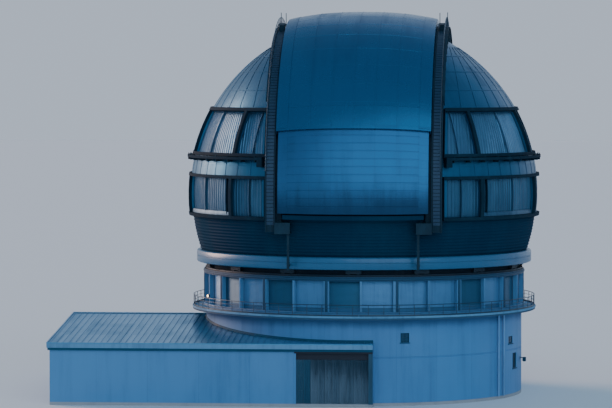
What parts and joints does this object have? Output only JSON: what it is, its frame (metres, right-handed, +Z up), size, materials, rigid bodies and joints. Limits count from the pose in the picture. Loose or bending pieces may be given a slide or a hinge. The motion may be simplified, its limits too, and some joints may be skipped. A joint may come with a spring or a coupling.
{
  "type": "half-scale observatory dome building",
  "caption": "Observatory: a ball-shaped dome with a shuttered slit turns on a round base building with a gallery and a low gabled annex.",
  "frame": {"origin": "on the dome's turning axis, at the ground slab's underside", "axes": "+Z up; -Y is the front, where the slit looks at rest; +X to the right, away from the annex"},
  "size_m": [23.3674, 17.5751, 18.875],
  "materials": {
    "concrete": "bare concrete",
    "white_render": "matt masonry paint",
    "roof_sheet": "satin paint",
    "roller_shutter": "satin paint",
    "railing_steel": "satin paint",
    "dark_glass": "dark glass",
    "dark_steel": "satin paint",
    "ring_paint": "satin paint",
    "skirt_cladding": "dark satin coating",
    "dome_cladding": "satin sheet",
    "shutter_cladding": "satin sheet",
    "window_panel": "satin sheet"
  },
  "bodies": {
    "building": {"base_slab": "concrete", "annex_slab": "concrete", "base_wall_lintel": "white_render", "base_wall_1": "white_render", "base_wall_2": "white_render", "base_wall_3": "white_render", "base_wall_4": "white_render", "base_wall_5": "white_render", "window_front_pane": "dark_glass", "window_right_pane": "dark_glass", "vent_right_pane": "dark_glass", "downpipe_right_1": "railing_steel", "downpipe_right_2": "railing_steel", "wall_lamp": "dark_steel", "annex_front_wall": "white_render", "annex_back_wall": "white_render", "annex_gable_wall": "white_render", "annex_roof_front": "roof_sheet", "annex_roof_back": "roof_sheet", "annex_fascia": "roof_sheet", "folding_door": "roller_shutter", "gallery_deck": "concrete", "gallery_railing_1": "railing_steel", "gallery_railing_2": "railing_steel", "gallery_railing_3": "railing_steel", "gallery_railing_4": "railing_steel", "drum_columns_1": "white_render", "drum_columns_2": "white_render", "drum_columns_3": "white_render", "drum_roller_shutters_1": "roller_shutter", "drum_roller_shutters_2": "roller_shutter", "drum_roller_shutters_3": "roller_shutter", "dome_track": "dark_steel"},
    "dome": {"ring_beam": "ring_paint", "dome_skirt": "skirt_cladding", "arch_girder_right": "dark_steel", "arch_girder_left": "dark_steel", "dome_shell_right": "dome_cladding", "dome_shell_left": "dome_cladding", "dome_shell_back": "dome_cladding", "window_frame_upper_right": "dark_steel", "window_frame_lower_right": "dark_steel", "window_frame_upper_left": "dark_steel", "window_frame_lower_left": "dark_steel", "window_panels_upper_right": "window_panel", "window_panels_lower_right": "window_panel", "window_panels_upper_left": "window_panel", "window_panels_lower_left": "window_panel", "stair_rail_right": "railing_steel", "stair_rail_left": "railing_steel"},
    "upper_shutter": {"upper_shutter": "shutter_cladding"},
    "lower_shutter": {"lower_shutter": "shutter_cladding"}
  },
  "joints": [
    {"name": "dome_turn", "type": "hinge", "parent": "building", "child": "dome", "pos_m": [0, 0, 6.2], "axis": [0, 0, 1], "continuous": true},
    {"name": "upper_shutter_slide", "type": "hinge", "parent": "dome", "child": "upper_shutter", "pos_m": [0, 0, 9.85], "axis": [-1, 0, 0], "range_deg": [0, 80]},
    {"name": "lower_shutter_slide", "type": "hinge", "parent": "dome", "child": "lower_shutter", "pos_m": [0, 0, 9.85], "axis": [-1, 0, 0], "range_deg": [0, 103]}
  ]
}
